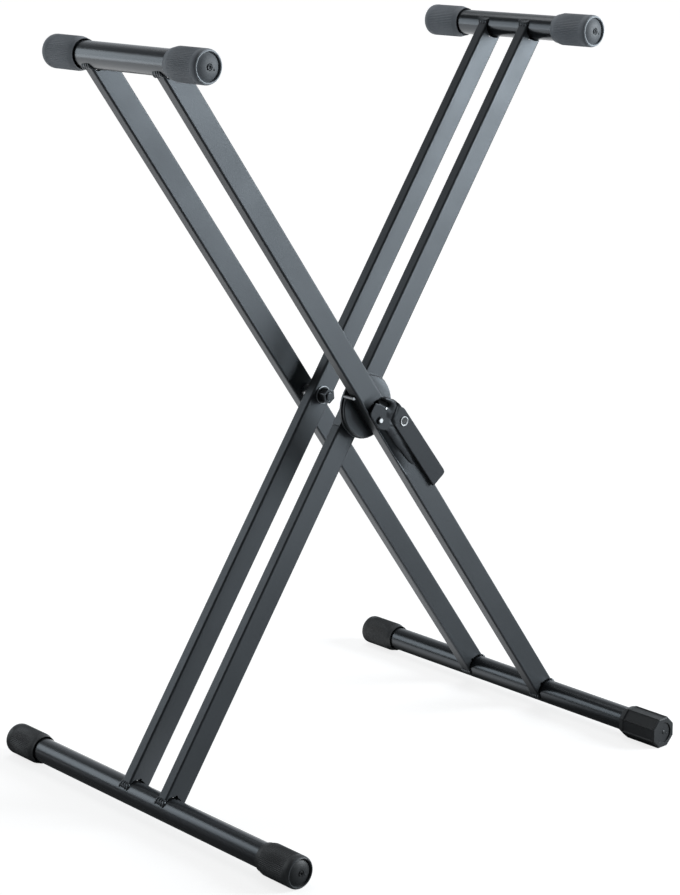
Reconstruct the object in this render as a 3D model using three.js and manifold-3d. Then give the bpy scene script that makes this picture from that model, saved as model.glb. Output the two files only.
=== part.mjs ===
// A folding keyboard stand: two hinged frames that cross like a pair of scissors.
// Each frame is a pair of rectangular steel legs welded between two round cross tubes, with rubber
// caps on the tube ends. The outer frame's legs stand outside the inner frame's. A toothed clutch in
// the gap between the two near legs holds the spread, and a squeezed lever lets it go. One foot cap
// is an off-centre octagon that levels the stand when it is turned.
// Millimetres. X is the way the frames spread, Y runs along the cross tubes, Z is up. The origin is
// on the floor under the middle of the stand, and the near side is -Y.

import * as THREE from 'three';
import { mergeVertices } from 'three/addons/utils/BufferGeometryUtils.js';
import Module from 'manifold-3d';

const wasm = await Module();
wasm.setup();

// ---------------------------------------------------------------- driving sizes

const SEAT_GAP = 0.3; // left between two pieces that touch

// the open stand
const LEAN_DEG = 34.75; // each leg's lean from upright
const UPPER_LEG = 513; // pivot to the top cross tube's axis, along the leg
const LOWER_LEG = 521.5; // pivot to the base cross tube's axis, along the leg
const TOP_SPAN = 275; // over the caps of a top cross tube
const BASE_SPAN = 537; // over the caps of a base cross tube

// rectangular leg tube
const LEG_WIDTH = 30;
const LEG_DEPTH = 15;
const LEG_WALL = 1.5;
const LEG_CORNER = 2.5;
const INNER_LEG_Y = 34; // centre of an inner leg from the middle
const LEG_GAP = 14; // between an inner leg and the outer leg beside it

// round cross tube
const TUBE_RADIUS = 15;
const TUBE_WALL = 1.5;
const COPE_RELIEF = 1.9; // extra room where a leg's wide face meets the tube, between the welds
const COPE_LAND = 3; // what stays close to the tube at each narrow face
const COPE_NOTCH_RADIUS = 2;

// rubber end cap
const CAP_RADIUS = 19;
const CAP_LENGTH = 58;
const CAP_END = 6; // thickness of the closed end
const CAP_MOUTH_RADIUS = 17.1;
const CAP_TAPER = 7;
const CAP_RELIEF = 1.3; // gap round the tube at the mouth
const CAP_RELIEF_DEPTH = 6;
const CAP_ROUND = 4; // rounding of the closed end
const CAP_DISH = 1;
const CAP_RIM = 1.6;

// octagonal levelling cap
const LEVELLER_OFFSET = 1.5; // its centre from the tube's axis
const LEVELLER_CHAMFER = 1.5;
const LEVELLER_RECESS_RADIUS = 13;
const LEVELLER_RECESS = 1.5;

// far pivot bolt
const BOLT_RADIUS = 5;
const BOLT_HEAD_RADIUS = 9.5;
const BOLT_HEAD = 4.5;
const BOLT_END = 1.5; // past its nut
const BORE_GAP = 0.4; // round a bolt or pin in its hole
const WASHER_RADIUS = 11;
const WASHER = 1.6;
const NUT_ACROSS = 16;
const NUT = 10;
const SPACER_RADIUS = 9;
const BUSH_WALL = 2.5;

// near pivot clutch
const CLUTCH_PIN_RADIUS = 5;
const CLUTCH_HEAD_RADIUS = 7.5;
const CLUTCH_HEAD = 2.2;
const CLUTCH_SEAT = 6.3; // flat seat of the pin's head, below the leg's face
const CLUTCH_NUT = 6;
const FLANGE_RADIUS = 39.4; // outer plate's thin rim
const FLANGE = 2.4;
const LOBE_RADIUS = 37.6;
const LOBE_BEVEL = 1.2;
const LOBE_SPACE = 38; // between the plate's two raised lobes
const LOBE_DROP = 1; // their faces behind the leg's back
const BOSS_WIDTH = 27; // what the leg bears on, between the lobes
const TOOTHED_RADIUS = 33.6;
const TOOTH_DEPTH = 1.6;
const TOOTH_COUNT = 36;
const TOOTH_TIP = 0.4; // a tooth's share of its pitch at its tip
const TOOTH_ROOT = 0.8; // and at its root
const TOOTHED_PLATE = 5.8;
const HOOK_PLATE = 2.2; // the toothed plate's sides, bent round the inner leg
const HOOK_DEPTH = 12;
const HOOK_TOP = 26; // above the pivot along the leg
const HOOK_BOTTOM = 36; // below the pivot

// pressed recess in the near outer leg
const RECESS_TOP = -24; // along the leg from the pivot
const RECESS_END = 97;
const RECESS_END_LENGTH = 22; // of each rounded end
const RECESS_HALF_WIDTH = 12.4;
const RECESS_DEPTH = 6;

// Release lever. Its places are given in the leg's own directions: "along" runs down the leg from the
// pivot, and "across" runs up to the right from its centreline.
const LEVER_PIVOT_ALONG = 12.5;
const LEVER_PIVOT_ACROSS = -6.6;
const LEVER_SHEET = 2.3;
const LEVER_FACE = 5; // the grip's near face in front of the leg
const LEVER_BACK = 2; // gap between the leg and the grip's far wall
const PLATE_ROOM = 2; // kept clear of the outer clutch plate
const LEVER_TOP = 21; // where the grip starts, along
const LEVER_END = 140; // where it ends, along
const GRIP_EDGE_TOP = 29.2; // the grip's outer edge at its top, across
const GRIP_EDGE_END = 32.9;
const GRIP_LIP_TOP = 5.4; // the grip's inner lip at its top, across
const GRIP_LIP_END = 8.9;
const GRIP_CORNER = 5;
const GRIP_SHOULDER = 8; // rounding of its upper outer corner
const LEVER_SIDE_GAP = 2.2; // the leg's narrow face to the grip's top wall
const EAR_TOP = -8.8; // along
const EAR_SIDE = 14.4; // the ear's straight side from the leg's centreline
const EAR_CORNER = 4; // cut off its upper left corner
const EAR_LOWER_EDGE = [[-18.2, 1], [-10.6, 11], [-6.4, 24], [-2, 37], [2.5, 52]]; // from the grip's lip
const KNUCKLE_TOP = -6; // along
// The knuckle's right edge, across from the grip's outer edge and along from the knuckle's top.
const KNUCKLE_EDGE = [[-1.9, 28.2], [-2.7, 21.3], [-5.6, 14], [-9.1, 8], [-12.6, 1.6], [-16, 0]];
const KNUCKLE_RIDGE = 2.6; // how far its ridge stands out
const RIDGE_TOP_KNOB = [3.2, -5.6, 3.2]; // across and along from the slot's closed end, and its radius
const RIDGE_BEND_KNOB = [7, 6, 5.6];
const RIDGE_END_KNOB = [-6, 8.4, 3.6];
const SLOT_WIDTH = 5.2;
const SLOT_ALONG = 7.2; // centre of the slot's closed end
const SLOT_ACROSS = 13.4;
const SLOT_TURN_DEG = 30; // from the leg's direction
const RIVET_RADIUS = 3;
const RIVET_HEAD_RADIUS = 4.6;
const RIVET_HEAD = 2;
const HOOK_PIN_RADIUS = 1.5;
const HOOK_PIN_ALONG = 7.6;
const HOOK_PIN_ACROSS = 8.5;
const BADGE_RADIUS = 6;
const BADGE = 0.9;
const BADGE_ALONG = 38.5;
const BADGE_ACROSS = 19.3;

// lock pawl, a toothed segment that the lever lifts off the toothed plate
const PAWL_GAP = 0.5; // drawn just clear of the teeth
const PAWL = 11.5; // its depth, out from the teeth
const PAWL_TEETH = 3;
const PAWL_TURN_DEG = 33; // its middle, from the leg's direction
const PAWL_MARGIN = 1.4; // its back in front of the toothed plate's back

// release spring round the lever's rivet, in a round pocket at the recess's side
const SPRING_WIRE = 1.1;
const SPRING_GAP = 0.4; // rivet to coil
const SPRING_TURNS = 1.5;
const SPRING_PITCH = 1.6;
const SPRING_ARM = 6;
const SPRING_POCKET_RADIUS = 5.4;
const SPRING_POCKET = 4.4; // its depth

// anchor pin beside the near outer leg, at the outer clutch plate's rim
const ANCHOR_RADIUS = 1.9;
const ANCHOR_ALONG = -32.6;
const ANCHOR_SIDE = 3.1; // its axis from the leg's narrow face
const ANCHOR_LENGTH = 17.6;

// facets round a full turn, and along the pawl's back
const ROUND_SIDES = 28;
const SMALL_SIDES = 16;
const PAWL_ARC = 6;

// ---------------------------------------------------------------- what follows from them

const LEAN = THREE.MathUtils.degToRad(LEAN_DEG);
const PIVOT_HEIGHT = CAP_RADIUS + LOWER_LEG * Math.cos(LEAN);
const OUTER_LEG_Y = INNER_LEG_Y + LEG_DEPTH + LEG_GAP;
const OUTER_FACE_Y = OUTER_LEG_Y + LEG_DEPTH / 2; // an outer leg's outward face
const OUTER_BACK_Y = OUTER_LEG_Y - LEG_DEPTH / 2;
const INNER_FACE_Y = INNER_LEG_Y + LEG_DEPTH / 2; // an inner leg's outward face
const INNER_BACK_Y = INNER_LEG_Y - LEG_DEPTH / 2;
const CAP_BORE = TUBE_RADIUS + SEAT_GAP;
const LEG_SIDE = LEG_WIDTH / 2;

// ---------------------------------------------------------------- materials

const paint = new THREE.MeshStandardMaterial({ color: '#34383c', roughness: 0.42, metalness: 0.35 });
const rubber = new THREE.MeshStandardMaterial({ color: '#3a3c3e', roughness: 0.85, metalness: 0 });
const castBlack = new THREE.MeshStandardMaterial({ color: '#2f3235', roughness: 0.6, metalness: 0.2 });
const leverBlack = new THREE.MeshStandardMaterial({ color: '#303336', roughness: 0.5, metalness: 0.25 });
const blackSteel = new THREE.MeshStandardMaterial({ color: '#1d1e20', roughness: 0.4, metalness: 0.6 });
const zinc = new THREE.MeshStandardMaterial({ color: '#b9bdc0', roughness: 0.3, metalness: 0.9 });
const badgeGrey = new THREE.MeshStandardMaterial({ color: '#8d9194', roughness: 0.4, metalness: 0.3 });

// ---------------------------------------------------------------- solids

// A closed solid from a three.js geometry: shared vertices merged, empty triangles dropped.
function solid(geometry) {
  const bare = geometry.clone();
  bare.deleteAttribute('normal');
  bare.deleteAttribute('uv');
  const merged = mergeVertices(bare, 1e-4);
  const corners = merged.index.array;
  const kept = [];
  for (let i = 0; i < corners.length; i += 3) {
    const [a, b, c] = [corners[i], corners[i + 1], corners[i + 2]];
    if (a !== b && b !== c && c !== a) kept.push(a, b, c);
  }
  const vertProperties = new Float32Array(merged.attributes.position.array);
  const triVerts = new Uint32Array(kept);
  return new wasm.Manifold(new wasm.Mesh({ numProp: 3, vertProperties, triVerts }));
}

// A named mesh from a solid.
function piece(name, body, material) {
  const result = body.getMesh();
  const geometry = new THREE.BufferGeometry();
  geometry.setAttribute('position', new THREE.BufferAttribute(result.vertProperties, 3));
  geometry.setIndex(new THREE.BufferAttribute(result.triVerts, 1));
  const mesh = new THREE.Mesh(geometry, material);
  mesh.name = name;
  return mesh;
}

// A shape drawn across (x) and up (z), as thick as from yLow to yHigh.
function plate(shape, yLow, yHigh, curveSegments = 4) {
  const depth = yHigh - yLow;
  const geometry = new THREE.ExtrudeGeometry(shape, { depth, bevelEnabled: false, curveSegments });
  return solid(geometry.rotateX(Math.PI / 2).translate(0, yHigh, 0));
}

// A round bar along Y whose corners lie on the circle.
function bar(radius, yLow, yHigh, x = 0, z = 0, sides = SMALL_SIDES) {
  const geometry = new THREE.CylinderGeometry(radius, radius, yHigh - yLow, sides);
  return solid(geometry.rotateY(Math.PI / sides).translate(x, (yLow + yHigh) / 2, z));
}

// The same bar with its flats on the circle, for a hole that a round piece must fit.
function hole(radius, yLow, yHigh, x = 0, z = 0, sides = SMALL_SIDES) {
  return bar(radius / Math.cos(Math.PI / sides), yLow, yHigh, x, z, sides);
}

// A turned piece round the Y axis, its flats on the given radii.
function turned(profile, sides = ROUND_SIDES) {
  const grow = 1 / Math.cos(Math.PI / sides);
  const points = profile.map(([radius, y]) => new THREE.Vector2(radius * grow, y));
  return solid(new THREE.LatheGeometry(points, sides, Math.PI / sides));
}

function ring(outer, inner, yLow, yHigh, x = 0, z = 0, sides = SMALL_SIDES) {
  return bar(outer, yLow, yHigh, x, z, sides).subtract(hole(inner, yLow - 1, yHigh + 1, x, z, sides));
}

function polygon(points) {
  return new THREE.Shape(points.map(([x, z]) => new THREE.Vector2(x, z)));
}

// ---------------------------------------------------------------- legs

function legSection(width, depth, corner) {
  const x = width / 2 - corner;
  const y = depth / 2 - corner;
  const shape = new THREE.Shape();
  shape.absarc(x, y, corner, 0, Math.PI / 2, false);
  shape.absarc(-x, y, corner, Math.PI / 2, Math.PI, false);
  shape.absarc(-x, -y, corner, Math.PI, 1.5 * Math.PI, false);
  shape.absarc(x, -y, corner, 1.5 * Math.PI, 2 * Math.PI, false);
  return shape;
}

function legBar(width, depth, corner, zLow, zHigh) {
  const depthAlong = zHigh - zLow;
  const shape = legSection(width, depth, corner);
  const geometry = new THREE.ExtrudeGeometry(shape, {
    depth: depthAlong,
    bevelEnabled: false,
    curveSegments: 3,
  });
  return solid(geometry.translate(0, 0, zLow));
}

// The room that a cross tube's saddle takes out of a leg's end, with the leg towards +Z or -Z.
function saddle(z, towards) {
  const reach = LEG_DEPTH;
  const close = hole(TUBE_RADIUS + SEAT_GAP, -reach, reach, 0, z, ROUND_SIDES);
  const land = LEG_WIDTH - 2 * COPE_LAND;
  const middle = solid(new THREE.BoxGeometry(land, 2 * reach, 4 * TUBE_RADIUS).translate(0, 0, z));
  const relieved = hole(TUBE_RADIUS + COPE_RELIEF, -reach, reach, 0, z, ROUND_SIDES).intersect(middle);
  const notchZ = z + towards * (TUBE_RADIUS + COPE_RELIEF);
  const notch = bar(COPE_NOTCH_RADIUS, -reach, reach, -COPE_NOTCH_RADIUS, notchZ);
  return close.add(relieved).add(notch);
}

// A leg with its pivot hole at the origin and its ends coped to both cross tubes.
function legOutside() {
  return legBar(LEG_WIDTH, LEG_DEPTH, LEG_CORNER, -LOWER_LEG, UPPER_LEG);
}

function legHollow() {
  const corner = Math.max(LEG_CORNER - LEG_WALL, LEG_WALL / 4);
  const width = LEG_WIDTH - 2 * LEG_WALL;
  return legBar(width, LEG_DEPTH - 2 * LEG_WALL, corner, -LOWER_LEG - 1, UPPER_LEG + 1);
}

function coped(body) {
  return body.subtract(saddle(UPPER_LEG, -1)).subtract(saddle(-LOWER_LEG, 1));
}

function plainLeg(pinRadius) {
  const body = legOutside().subtract(legHollow());
  return coped(body).subtract(hole(pinRadius + BORE_GAP, -LEG_DEPTH, LEG_DEPTH));
}

// The near outer leg has a long recess pressed into its near face, with a flat seat for the clutch
// pin's head and a pocket for the release spring. The hollow behind is smaller by as much.
function recessedLeg() {
  const pinHole = hole(CLUTCH_PIN_RADIUS + BORE_GAP, -LEG_DEPTH, LEG_DEPTH);
  const body = legOutside().subtract(pressed(0)).subtract(legHollow().subtract(pressed(LEG_WALL)));
  return coped(body).subtract(pinHole).subtract(rivetHole(-LEG_DEPTH, LEG_DEPTH));
}

// The room of the pressed recess, or the same grown by a wall.
function pressed(grow) {
  const faceY = -LEG_DEPTH / 2;
  const ends = [RECESS_TOP + RECESS_END_LENGTH, RECESS_END - RECESS_END_LENGTH].map((along) => {
    const geometry = new THREE.SphereGeometry(1, 28, 16);
    geometry.scale(RECESS_HALF_WIDTH + grow, RECESS_DEPTH + grow, RECESS_END_LENGTH + grow);
    return solid(geometry.translate(0, faceY, -along));
  });
  const seat = hole(CLUTCH_HEAD_RADIUS + BORE_GAP + grow, -LEG_DEPTH, faceY + CLUTCH_SEAT + grow);
  const [x, z] = [LEVER_PIVOT_ACROSS, -LEVER_PIVOT_ALONG];
  const pocket = hole(SPRING_POCKET_RADIUS + grow, -LEG_DEPTH, faceY + SPRING_POCKET + grow, x, z);
  return wasm.Manifold.hull(ends).add(seat).add(pocket);
}

// ---------------------------------------------------------------- cross tubes and caps

function crossTube(span) {
  const half = span / 2 - CAP_END - SEAT_GAP;
  return ring(TUBE_RADIUS, TUBE_RADIUS - TUBE_WALL, -half, half, 0, 0, ROUND_SIDES);
}

// A rubber cap, its mouth at y = 0 and its closed end at y = -CAP_LENGTH.
function roundCap() {
  const end = -CAP_LENGTH;
  const rounding = [];
  const steps = 3;
  for (let i = 0; i <= steps; i += 1) {
    const turn = (i / steps) * (Math.PI / 2);
    const radius = CAP_RADIUS - CAP_ROUND + CAP_ROUND * Math.sin(turn);
    rounding.push([radius, end + CAP_ROUND - CAP_ROUND * Math.cos(turn)]);
  }
  const rimRadius = CAP_RADIUS - CAP_ROUND - CAP_RIM;
  return turned([
    [0, end + CAP_DISH],
    [rimRadius, end + CAP_DISH],
    [rimRadius + 0.4, end],
    ...rounding,
    [CAP_RADIUS, -CAP_TAPER],
    [CAP_MOUTH_RADIUS, 0],
    [CAP_BORE + CAP_RELIEF, 0],
    [CAP_BORE + CAP_RELIEF, -CAP_RELIEF_DEPTH],
    [CAP_BORE, -CAP_RELIEF_DEPTH],
    [CAP_BORE, end + CAP_END],
    [0, end + CAP_END],
  ]);
}

// The octagonal cap: the same length and bore, its outside set off-centre towards the stand's middle.
function levellingCap() {
  const end = -CAP_LENGTH;
  const outside = turned(
    [
      [0, end],
      [CAP_RADIUS - LEVELLER_CHAMFER, end],
      [CAP_RADIUS, end + LEVELLER_CHAMFER],
      [CAP_RADIUS, -CAP_TAPER],
      [CAP_MOUTH_RADIUS, 0],
      [0, 0],
    ],
    8,
  ).translate([-LEVELLER_OFFSET, 0, 0]);
  const bore = hole(CAP_BORE, end + CAP_END, 1, 0, 0, ROUND_SIDES);
  const recessLow = end - 1;
  const face = hole(LEVELLER_RECESS_RADIUS, recessLow, end + LEVELLER_RECESS, -LEVELLER_OFFSET, 0);
  return outside.subtract(bore).subtract(face);
}

// ---------------------------------------------------------------- far pivot

function hexNut(across, boreRadius, yLow, yHigh) {
  return hole(across / 2, yLow, yHigh, 0, 0, 6).subtract(hole(boreRadius, yLow - 1, yHigh + 1));
}

function washer(radius, boreRadius, yLow) {
  return ring(radius, boreRadius + SEAT_GAP, yLow, yLow + WASHER);
}

// The bolt's head bears on the outer leg, and its nut on the inner leg's side towards the middle.
const FAR_WASHER_Y = OUTER_FACE_Y + SEAT_GAP;
const FAR_HEAD_Y = FAR_WASHER_Y + WASHER + SEAT_GAP;
const FAR_NUT_WASHER_Y = INNER_BACK_Y - SEAT_GAP - WASHER;
const FAR_NUT_Y = FAR_NUT_WASHER_Y - SEAT_GAP;

function farBolt() {
  const head = hole(BOLT_HEAD_RADIUS, FAR_HEAD_Y, FAR_HEAD_Y + BOLT_HEAD);
  return head.add(bar(BOLT_RADIUS, FAR_NUT_Y - NUT - BOLT_END, FAR_HEAD_Y + 0.5));
}

function farNut() {
  return hexNut(NUT_ACROSS, BOLT_RADIUS + SEAT_GAP, FAR_NUT_Y - NUT, FAR_NUT_Y);
}

function farSpacer() {
  const low = INNER_FACE_Y + SEAT_GAP;
  return ring(SPACER_RADIUS, BOLT_RADIUS + SEAT_GAP, low, OUTER_BACK_Y - SEAT_GAP);
}

// A steel bush that keeps a hollow leg's walls apart under the bolt.
function legBush(legY, pinRadius) {
  const reach = LEG_DEPTH / 2 - LEG_WALL - SEAT_GAP;
  const inner = pinRadius + SEAT_GAP;
  return ring(inner + BUSH_WALL, inner, legY - reach, legY + reach);
}

// ---------------------------------------------------------------- near pivot clutch

// Along Y from the near outer leg's back: the outer plate, then the toothed plate on the inner leg.
const BOSS_Y = -OUTER_BACK_Y + SEAT_GAP;
const LOBE_Y = -OUTER_BACK_Y + LOBE_DROP;
const TOOTHED_BACK_Y = -INNER_FACE_Y - SEAT_GAP;
const TOOTHED_FRONT_Y = TOOTHED_BACK_Y - TOOTHED_PLATE;
const FLANGE_BACK_Y = TOOTHED_FRONT_Y - SEAT_GAP;
const FLANGE_FRONT_Y = FLANGE_BACK_Y - FLANGE;
const PLATE_SIDES = 40;

// The pin's flat head lies in the recess, and its nut is behind the inner leg.
const CLUTCH_HEAD_Y = -OUTER_FACE_Y + CLUTCH_SEAT - SEAT_GAP;
const CLUTCH_WASHER_Y = -INNER_BACK_Y + SEAT_GAP;
const CLUTCH_NUT_Y = CLUTCH_WASHER_Y + WASHER + SEAT_GAP;

const ANCHOR_ACROSS = -(LEG_SIDE + ANCHOR_SIDE);
const ANCHOR_BACK_Y = FLANGE_BACK_Y - FLANGE / 2;

// A round plate with a thin rim, a raised lobe each side, and a boss between them for the leg.
function outerClutchPlate() {
  const cast = turned(
    [
      [0, LOBE_Y],
      [LOBE_RADIUS - LOBE_BEVEL, LOBE_Y],
      [LOBE_RADIUS, LOBE_Y + LOBE_BEVEL],
      [LOBE_RADIUS, FLANGE_FRONT_Y],
      [FLANGE_RADIUS, FLANGE_FRONT_Y],
      [FLANGE_RADIUS, FLANGE_BACK_Y],
      [0, FLANGE_BACK_Y],
    ],
    PLATE_SIDES,
  );
  const deep = FLANGE_FRONT_Y - LOBE_Y;
  const channel = new THREE.BoxGeometry(LOBE_SPACE, 2 * deep, 4 * LOBE_RADIUS);
  const bossDepth = FLANGE_FRONT_Y + 0.5 - BOSS_Y;
  const boss = new THREE.BoxGeometry(BOSS_WIDTH, bossDepth, 2 * LOBE_RADIUS - BOSS_WIDTH);
  const anchorRadius = ANCHOR_RADIUS + SEAT_GAP;
  const anchor = hole(anchorRadius, LOBE_Y - 1, ANCHOR_BACK_Y, ANCHOR_ACROSS, -ANCHOR_ALONG, 12);
  return cast
    .subtract(solid(channel.translate(0, FLANGE_FRONT_Y - deep, 0)))
    .add(solid(boss.translate(0, BOSS_Y + bossDepth / 2, 0)))
    .subtract(anchor)
    .subtract(hole(CLUTCH_PIN_RADIUS + BORE_GAP, BOSS_Y - 1, FLANGE_BACK_Y + 1));
}

// A ring of teeth, each a flat tip with sloped sides.
function toothedOutline(tipRadius, rootRadius) {
  const pitch = (2 * Math.PI) / TOOTH_COUNT;
  const [root, tip] = [TOOTH_ROOT / 2, TOOTH_TIP / 2];
  const corners = [[-root, rootRadius], [-tip, tipRadius], [tip, tipRadius], [root, rootRadius]];
  const points = [];
  for (let i = 0; i < TOOTH_COUNT; i += 1) {
    for (const [share, radius] of corners) {
      const turn = (i + share) * pitch;
      points.push([radius * Math.cos(turn), radius * Math.sin(turn)]);
    }
  }
  return polygon(points);
}

// The toothed plate's sides are bent round the inner leg, so it turns with the leg.
function toothedClutchPlate() {
  const outline = toothedOutline(TOOTHED_RADIUS, TOOTHED_RADIUS - TOOTH_DEPTH);
  let body = plate(outline, TOOTHED_FRONT_Y, TOOTHED_BACK_Y);
  for (const side of [-1, 1]) {
    const overlap = 1;
    const height = HOOK_TOP + HOOK_BOTTOM;
    const x = side * (LEG_SIDE + SEAT_GAP + HOOK_PLATE / 2);
    const hook = new THREE.BoxGeometry(HOOK_PLATE, HOOK_DEPTH + overlap, height);
    const y = TOOTHED_BACK_Y + (HOOK_DEPTH - overlap) / 2;
    body = body.add(solid(hook.translate(x, y, (HOOK_TOP - HOOK_BOTTOM) / 2)));
  }
  return body.subtract(hole(CLUTCH_PIN_RADIUS + BORE_GAP, TOOTHED_FRONT_Y - 1, TOOTHED_BACK_Y + 1));
}

function clutchPin() {
  const head = bar(CLUTCH_HEAD_RADIUS, CLUTCH_HEAD_Y - CLUTCH_HEAD, CLUTCH_HEAD_Y);
  const end = CLUTCH_NUT_Y + CLUTCH_NUT + BOLT_END;
  return head.add(bar(CLUTCH_PIN_RADIUS, CLUTCH_HEAD_Y - 1, end));
}

function clutchNut() {
  const boreRadius = CLUTCH_PIN_RADIUS + SEAT_GAP;
  return hexNut(NUT_ACROSS, boreRadius, CLUTCH_NUT_Y, CLUTCH_NUT_Y + CLUTCH_NUT);
}

function anchorPin() {
  const back = ANCHOR_BACK_Y - SEAT_GAP;
  return bar(ANCHOR_RADIUS, back - ANCHOR_LENGTH, back, ANCHOR_ACROSS, -ANCHOR_ALONG, 12);
}

// ---------------------------------------------------------------- release lever

const FACE_Y = -OUTER_FACE_Y; // the near outer leg's near face
const EAR_BACK_Y = FACE_Y - SEAT_GAP;
const EAR_FRONT_Y = EAR_BACK_Y - LEVER_SHEET;
const GRIP_FRONT_Y = FACE_Y - LEVER_FACE;
const GRIP_WALL_Y = -OUTER_BACK_Y + LEVER_BACK; // front of the grip's far wall
const GRIP_BACK_Y = GRIP_WALL_Y + LEVER_SHEET;

// How far across the grip's outer edge and inner lip lie, at a place along the leg.
function gripEdge(along) {
  return THREE.MathUtils.mapLinear(along, LEVER_TOP, LEVER_END, GRIP_EDGE_TOP, GRIP_EDGE_END);
}

function gripLip(along) {
  return THREE.MathUtils.mapLinear(along, LEVER_TOP, LEVER_END, GRIP_LIP_TOP, GRIP_LIP_END);
}

// The grip seen from the near side, or the same drawn in by a wall.
function gripOutline(inset) {
  const top = LEVER_TOP + inset;
  const end = LEVER_END - inset;
  const corner = GRIP_CORNER - inset;
  const shoulder = GRIP_SHOULDER - inset;
  const shape = new THREE.Shape();
  shape.moveTo(gripLip(top) + inset, -top);
  shape.lineTo(gripLip(end) + inset, -end);
  shape.lineTo(gripEdge(end) - inset - corner, -end);
  shape.quadraticCurveTo(gripEdge(end) - inset, -end, gripEdge(end) - inset, -end + corner);
  shape.lineTo(gripEdge(top) - inset, -top - shoulder);
  shape.quadraticCurveTo(gripEdge(top) - inset, -top, gripEdge(top) - inset - shoulder, -top);
  shape.closePath();
  return shape;
}

// The grip is a channel round the leg's right side: a near wall with a lip all round, an outer wall
// and a far wall. What the leg sweeps through when the lever is squeezed is left open.
function grip() {
  const outside = plate(gripOutline(0), GRIP_FRONT_Y, GRIP_BACK_Y);
  const inside = plate(gripOutline(LEVER_SHEET), GRIP_FRONT_Y + LEVER_SHEET, GRIP_WALL_Y);
  const sweep = new THREE.Shape();
  sweep.moveTo(-LEG_WIDTH, -LEVER_TOP + 2 * LEVER_SHEET);
  sweep.lineTo(-LEG_WIDTH, -LEVER_END - LEVER_SHEET);
  sweep.lineTo(gripEdge(LEVER_END) - LEVER_SHEET, -LEVER_END - LEVER_SHEET);
  sweep.lineTo(gripEdge(LEVER_TOP) - LEVER_SHEET, -LEVER_TOP - 2 * LEVER_SHEET);
  sweep.lineTo(LEG_SIDE + LEVER_SIDE_GAP, -LEVER_TOP - 2 * LEVER_SHEET);
  sweep.lineTo(LEG_SIDE + LEVER_SIDE_GAP, -LEVER_TOP + 2 * LEVER_SHEET);
  sweep.closePath();
  const opening = plate(sweep, EAR_BACK_Y, GRIP_WALL_Y);
  const clutchRoom = FLANGE_RADIUS + PLATE_ROOM;
  const clutchFront = BOSS_Y - PLATE_ROOM;
  const clutch = hole(clutchRoom, clutchFront, GRIP_BACK_Y + 1, 0, 0, PLATE_SIDES);
  return outside.subtract(inside).subtract(opening).subtract(clutch);
}

// The ear lies on the leg's near face round the rivet, and joins the grip through the knuckle.
function ear() {
  const shape = new THREE.Shape();
  const edge = gripEdge(LEVER_TOP);
  const lip = gripLip(LEVER_TOP);
  const place = (fromAcross, fromAlong) => ([across, along]) => (
    new THREE.Vector2(fromAcross + across, -fromAlong - along)
  );
  shape.moveTo(-EAR_SIDE, -EAR_TOP - 2 * EAR_CORNER);
  shape.lineTo(-EAR_SIDE, -LEVER_PIVOT_ALONG);
  shape.splineThru(EAR_LOWER_EDGE.map(place(lip, LEVER_TOP)));
  shape.lineTo(edge - LEVER_SHEET / 2, -LEVER_TOP - GRIP_SHOULDER);
  shape.splineThru(KNUCKLE_EDGE.map(place(edge, KNUCKLE_TOP)));
  shape.lineTo(0, -EAR_TOP);
  shape.lineTo(-EAR_SIDE + EAR_CORNER / 2, -EAR_TOP - EAR_CORNER);
  shape.closePath();
  return plate(shape, EAR_FRONT_Y, EAR_BACK_Y, 3);
}

// A rounded ridge bent up round the slot's closed end.
function knuckleRidge() {
  const knob = ([across, along, radius]) => {
    const geometry = new THREE.SphereGeometry(1, 20, 12);
    geometry.scale(radius, KNUCKLE_RIDGE, radius);
    return solid(geometry.translate(SLOT_ACROSS + across, EAR_FRONT_Y, -SLOT_ALONG - along));
  };
  const bend = knob(RIDGE_BEND_KNOB);
  const upper = wasm.Manifold.hull([knob(RIDGE_TOP_KNOB), bend]);
  const lower = wasm.Manifold.hull([bend, knob(RIDGE_END_KNOB)]);
  const behind = new THREE.BoxGeometry(4 * LEG_WIDTH, LEG_DEPTH, 4 * LEG_WIDTH);
  const backY = EAR_FRONT_Y + LEVER_SHEET / 2 + LEG_DEPTH / 2;
  return upper.add(lower).subtract(solid(behind.translate(0, backY, 0)));
}

function rivetHole(yLow, yHigh) {
  return hole(RIVET_RADIUS + SEAT_GAP, yLow, yHigh, LEVER_PIVOT_ACROSS, -LEVER_PIVOT_ALONG, 12);
}

// The knuckle's slot, open towards the upper left.
function earSlot() {
  const length = 4 * SLOT_WIDTH;
  const shape = new THREE.Shape();
  shape.absarc(0, 0, SLOT_WIDTH / 2, Math.PI, 2 * Math.PI, false);
  shape.lineTo(SLOT_WIDTH / 2, length);
  shape.lineTo(-SLOT_WIDTH / 2, length);
  shape.closePath();
  const cut = plate(shape, GRIP_FRONT_Y - 2, EAR_BACK_Y + 1);
  return cut.rotate([0, -SLOT_TURN_DEG, 0]).translate([SLOT_ACROSS, 0, -SLOT_ALONG]);
}

function lever() {
  const body = grip().add(ear()).add(knuckleRidge()).subtract(earSlot());
  const pinRadius = HOOK_PIN_RADIUS + SEAT_GAP;
  const pinHole = hole(pinRadius, EAR_FRONT_Y - 1, EAR_BACK_Y + 1, HOOK_PIN_ACROSS, -HOOK_PIN_ALONG);
  return body.subtract(rivetHole(EAR_FRONT_Y - 1, EAR_BACK_Y + 1)).subtract(pinHole);
}

function leverRivet() {
  const front = EAR_FRONT_Y - SEAT_GAP;
  const [x, z] = [LEVER_PIVOT_ACROSS, -LEVER_PIVOT_ALONG];
  const head = bar(RIVET_HEAD_RADIUS, front - RIVET_HEAD, front, x, z);
  return head.add(bar(RIVET_RADIUS, front - 1, -OUTER_BACK_Y - SEAT_GAP, x, z, 12));
}

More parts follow.
